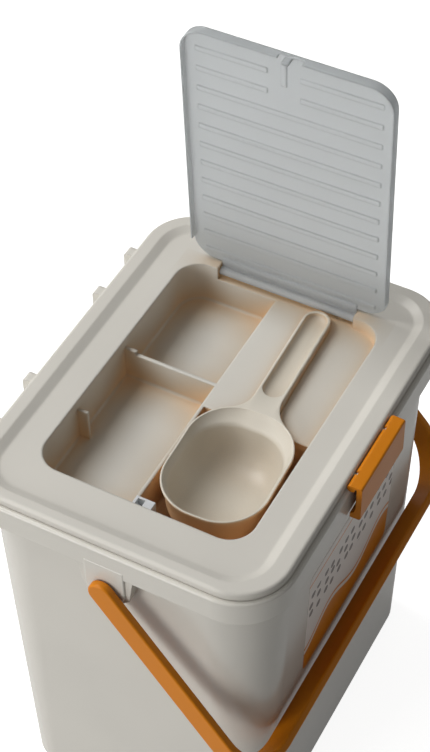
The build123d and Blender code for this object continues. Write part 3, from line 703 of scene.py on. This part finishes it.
def scoop_mesh(name):
    """The scoop as one closed skin. Its outside, its bowl and its channel are loops joined by quads, and
    the flat top is filled between the outer edge, the bowl's mouth and the channel. All of it is then
    turned by its small angle about the bowl's middle."""
    corners, faces, rings = [], [], []
    total = 0
    for loops, top in ((outer_skin(), -1), (bowl_skin(), 0), (channel_skin(), 0)):
        rows, columns = loops.shape[:2]
        index = np.arange(rows * columns).reshape(rows, columns) + total
        after = np.roll(index, -1, axis=1)
        quads = np.stack([index[:-1], after[:-1], after[1:], index[1:]], axis=2).reshape(-1, 4)
        faces.extend(quads.tolist())
        corners.append(loops.reshape(-1, 3))
        rings.append(index[top])
        total += rows * columns
    points = np.concatenate(corners)
    triangles = tessellate_polygon([list(map(Vector, points[ring])) for ring in rings])
    faces.extend(np.concatenate(rings)[np.array(triangles)].tolist())
    turned = math.radians(SCOOP_TURN)
    x = points[:, 0] * math.cos(turned) - points[:, 1] * math.sin(turned) + BOWL_MIDDLE_X
    y = points[:, 0] * math.sin(turned) + points[:, 1] * math.cos(turned) + BOWL_MIDDLE_Y
    mesh = bpy.data.meshes.new(name)
    mesh.from_pydata(np.column_stack([x, y, points[:, 2] + SCOOP_TOP]), [], faces)
    solid = bmesh.new()
    solid.from_mesh(mesh)
    bmesh.ops.remove_doubles(solid, verts=solid.verts, dist=SAME_POINT)
    bmesh.ops.recalc_face_normals(solid, faces=solid.faces)
    solid.to_mesh(mesh)
    solid.free()
    return mesh


def floor_mesh(name, side, level):
    """A flat square at one height: evenly spaced lines both ways, whose crossings are joined by quads."""
    line = np.linspace(-side / 2, side / 2, FLOOR_LINES)
    x, y = np.meshgrid(line, line, indexing="xy")
    index = np.arange(FLOOR_LINES * FLOOR_LINES).reshape(FLOOR_LINES, FLOOR_LINES)
    quads = np.stack([index[:-1, :-1], index[:-1, 1:], index[1:, 1:], index[1:, :-1]], axis=2)
    mesh = bpy.data.meshes.new(name)
    mesh.from_pydata(
        np.stack([x, y, np.full_like(x, level)], axis=2).reshape(-1, 3), [], quads.reshape(-1, 4)
    )
    return mesh


def camera_turn():
    """The camera's rotation from its azimuth, elevation and roll."""
    azimuth = math.radians(CAMERA_AZIMUTH)
    elevation = math.radians(CAMERA_ELEVATION)
    roll = math.radians(CAMERA_ROLL)
    back = Vector(
        (
            math.sin(azimuth) * math.cos(elevation),
            -math.cos(azimuth) * math.cos(elevation),
            math.sin(elevation),
        )
    )
    right = Vector((math.cos(azimuth), math.sin(azimuth), 0.0))
    up = back.cross(right)
    across = math.cos(roll) * right + math.sin(roll) * up
    upward = -math.sin(roll) * right + math.cos(roll) * up
    return Matrix((across, upward, back)).transposed()


def soft_lamp(name, place, side, power):
    """A square soft box that points at the middle of the bin."""
    data = bpy.data.lights.new(name, "AREA")
    data.shape = "SQUARE"
    data.size = side
    data.energy = power
    lamp = bpy.data.objects.new(name, data)
    lamp.location = place
    lamp.rotation_euler = (Vector(LAMP_AIM) - Vector(place)).to_track_quat("-Z", "Y").to_euler()
    bpy.context.scene.collection.objects.link(lamp)


def white_room(scene):
    """A world that shows white to the camera and through glass, and lights the bin with less, by the
    direction across it: weaker from the front, stronger from the back."""
    world = bpy.data.worlds.new("studio")
    scene.world = world
    world.use_nodes = True
    tree = world.node_tree
    tree.nodes.clear()
    path = add_node(tree, "ShaderNodeLightPath")
    seen = add_node(
        tree,
        "ShaderNodeMath",
        {0: path.outputs["Is Camera Ray"], 1: path.outputs["Is Transmission Ray"]},
        operation="MAXIMUM",
    ).outputs["Value"]
    way = add_node(tree, "ShaderNodeTexCoord").outputs["Generated"]
    across = add_node(tree, "ShaderNodeSeparateXYZ", {"Vector": way}).outputs["Y"]
    room = add_node(
        tree,
        "ShaderNodeMapRange",
        {"Value": across, "From Min": -1.0, "To Min": ROOM_FRONT, "To Max": ROOM_BACK},
    )
    strength = add_node(
        tree,
        "ShaderNodeMapRange",
        {"Value": seen, "To Min": room.outputs["Result"], "To Max": 1.0},
    )
    sky = add_node(
        tree,
        "ShaderNodeBackground",
        {"Color": (1.0, 1.0, 1.0, 1.0), "Strength": strength.outputs["Result"]},
    )
    add_node(tree, "ShaderNodeOutputWorld", {"Surface": sky.outputs["Background"]})


def photo_camera(scene):
    """The camera at the photograph's place, turn and focal length."""
    data = bpy.data.cameras.new("camera")
    data.sensor_fit = "VERTICAL"
    data.sensor_height = SENSOR_HEIGHT_MM
    data.lens = FOCAL_PX * SENSOR_HEIGHT_MM / IMAGE_HEIGHT_PX
    data.shift_x = (IMAGE_WIDTH_PX / 2 - CENTRE_X_PX) / IMAGE_HEIGHT_PX
    data.shift_y = (CENTRE_Y_PX - IMAGE_HEIGHT_PX / 2) / IMAGE_HEIGHT_PX
    data.clip_start, data.clip_end = CLIP_NEAR, CLIP_FAR
    camera = bpy.data.objects.new("camera", data)
    camera.matrix_world = Matrix.Translation(CAMERA_PLACE) @ camera_turn().to_4x4()
    scene.collection.objects.link(camera)
    scene.camera = camera


class BIN_OT_tub(bpy.types.Operator):
    """Tub: glossy moulded polypropylene with slow ripples in its tall walls"""

    bl_idname = "foodbin.tub"
    bl_label = "Tub"

    def execute(self, context):
        colours, sizes = context.scene.bin_colours, context.scene.bin_sizes
        # From a polished mould: wide soft highlights that bend where the wall ripples.
        white = moulded("polypropylene_gloss_white", colours.white, 0.22, sizes, 0.003 * MM, 0.12 * MM)
        wear("bin_body", white)
        return {"FINISHED"}


class BIN_OT_lid(bpy.types.Operator):
    """Lid: satin moulded polypropylene with a fine grain"""

    bl_idname = "foodbin.lid"
    bl_label = "Lid"

    def execute(self, context):
        colours, sizes = context.scene.bin_colours, context.scene.bin_sizes
        # From an etched mould: an even satin with soft edges, and painted shade and painted warm light down
        # in the tray.
        white = moulded(
            "polypropylene_satin_white", colours.white, 0.46, sizes, 0.02 * MM, 0.12 * MM,
            edge=sizes.lid_edge, painted_glow=colours.painted_glow, shadow=colours.shadow,
        )
        wear("lid", white)
        return {"FINISHED"}


class BIN_OT_cover(bpy.types.Operator):
    """Tray cover: frosted polypropylene that lets light through"""

    bl_idname = "foodbin.cover"
    bl_label = "Tray cover"

    def execute(self, context):
        colours, sizes = context.scene.bin_colours, context.scene.bin_sizes
        wear("tray_cover", frosted_cover_plastic(colours, sizes))
        return {"FINISHED"}


class BIN_OT_handle(bpy.types.Operator):
    """Handle and clip: orange moulded polypropylene"""

    bl_idname = "foodbin.handle"
    bl_label = "Handle and clip"

    def execute(self, context):
        colours, sizes = context.scene.bin_colours, context.scene.bin_sizes
        # Coloured through, with a fine grain: a deep orange with dull highlights.
        orange = moulded(
            "polypropylene_orange", colours.orange, 0.42, sizes, 0.012 * MM, 0.1 * MM,
            mottle=0.04, shine=0.3,
        )
        wear("handle", orange)
        wear("front_latch", orange)
        return {"FINISHED"}


class BIN_OT_scoop(bpy.types.Operator):
    """Scoop and catch: smooth satin plastic"""

    bl_idname = "foodbin.scoop"
    bl_label = "Scoop and catch"

    def execute(self, context):
        colours, sizes = context.scene.bin_colours, context.scene.bin_sizes
        # Smooth and a little warmer than the lid: soft light runs round the bowl, and its sunk places get
        # painted shade and painted warm light.
        white = moulded(
            "polypropylene_scoop_white", colours.scoop, 0.40, sizes, 0.008 * MM, 0.1 * MM,
            painted_glow=colours.painted_glow, shadow=colours.shadow,
        )
        wear("scoop", white)
        scoop = finished_piece(scoop_mesh("scoop_moulding"), white)
        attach(scoop, "scoop")
        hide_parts("scoop")
        # Without the warm pigment: a cool white beside the lid's.
        cool = moulded("polypropylene_cool_white", colours.catch, 0.35, sizes, 0.004 * MM, 0.05 * MM)
        wear("cover_catch", cool)
        return {"FINISHED"}


class BIN_OT_label(bpy.types.Operator):
    """Label: a printed film with a wavy band and rows of dots"""

    bl_idname = "foodbin.label"
    bl_label = "Label"

    def execute(self, context):
        wear("front_label", label_film(context.scene.bin_colours, context.scene.bin_sizes))
        return {"FINISHED"}


class BIN_OT_fittings(bpy.types.Operator):
    """Fittings: the lid's silicone seal and the two hinge rods"""

    bl_idname = "foodbin.fittings"
    bl_label = "Seal and hinge rods"

    def execute(self, context):
        colours, sizes = context.scene.bin_colours, context.scene.bin_sizes
        # Soft moulded silicone: a dull grey-white with hardly a highlight.
        wear("lid_gasket", moulded("silicone_seal", colours.seal, 0.55, sizes, 0.01 * MM, 0.05 * MM))
        steel = drawn_steel()
        wear("lid_hinge_pin_left", steel)
        wear("lid_hinge_pin_right", steel)
        return {"FINISHED"}


class BIN_OT_stage(bpy.types.Operator):
    """Stage: pale floor, soft lamps, white surroundings and the camera"""

    bl_idname = "foodbin.stage"
    bl_label = "Stage"

    def execute(self, context):
        scene = context.scene
        mesh = floor_mesh("floor", scene.bin_sizes.floor, -FLOOR_DROP)
        floor = finished_piece(mesh, stage_paper("paper_pale", "#B9B9B7"))
        for name, place, side, power in LAMPS:
            soft_lamp(name, place, side, power)
        white_room(scene)
        photo_camera(scene)
        scene.view_settings.view_transform = "Standard"
        return {"FINISHED"}


PIECES = (
    BIN_OT_tub,
    BIN_OT_lid,
    BIN_OT_cover,
    BIN_OT_handle,
    BIN_OT_scoop,
    BIN_OT_label,
    BIN_OT_fittings,
    BIN_OT_stage,
)


class BIN_PT_panel(bpy.types.Panel):
    """Lists the bin's pieces, colours and sizes"""

    bl_label = "Food storage bin"
    bl_idname = "BIN_PT_panel"
    bl_space_type = "VIEW_3D"
    bl_region_type = "UI"
    bl_category = "Food bin"

    def draw(self, context):
        layout = self.layout
        for group in (context.scene.bin_colours, context.scene.bin_sizes):
            for name in group.__annotations__:
                layout.prop(group, name)
        for piece in PIECES:
            layout.operator(piece.bl_idname)


CLASSES = (BinColours, BinSizes, *PIECES, BIN_PT_panel)


def register():
    """Registers the classes and puts their properties on the scene."""
    for each in CLASSES:
        bpy.utils.register_class(each)
    bpy.types.Scene.bin_colours = PointerProperty(type=BinColours)
    bpy.types.Scene.bin_sizes = PointerProperty(type=BinSizes)


def unregister():
    """Takes back what register did."""
    del bpy.types.Scene.bin_sizes
    del bpy.types.Scene.bin_colours
    for each in reversed(CLASSES):
        bpy.utils.unregister_class(each)


def main():
    """Runs every operator in order."""
    register()
    for piece in PIECES:
        group, name = piece.bl_idname.split(".")
        getattr(getattr(bpy.ops, group), name)()


if __name__ == "__main__":
    main()
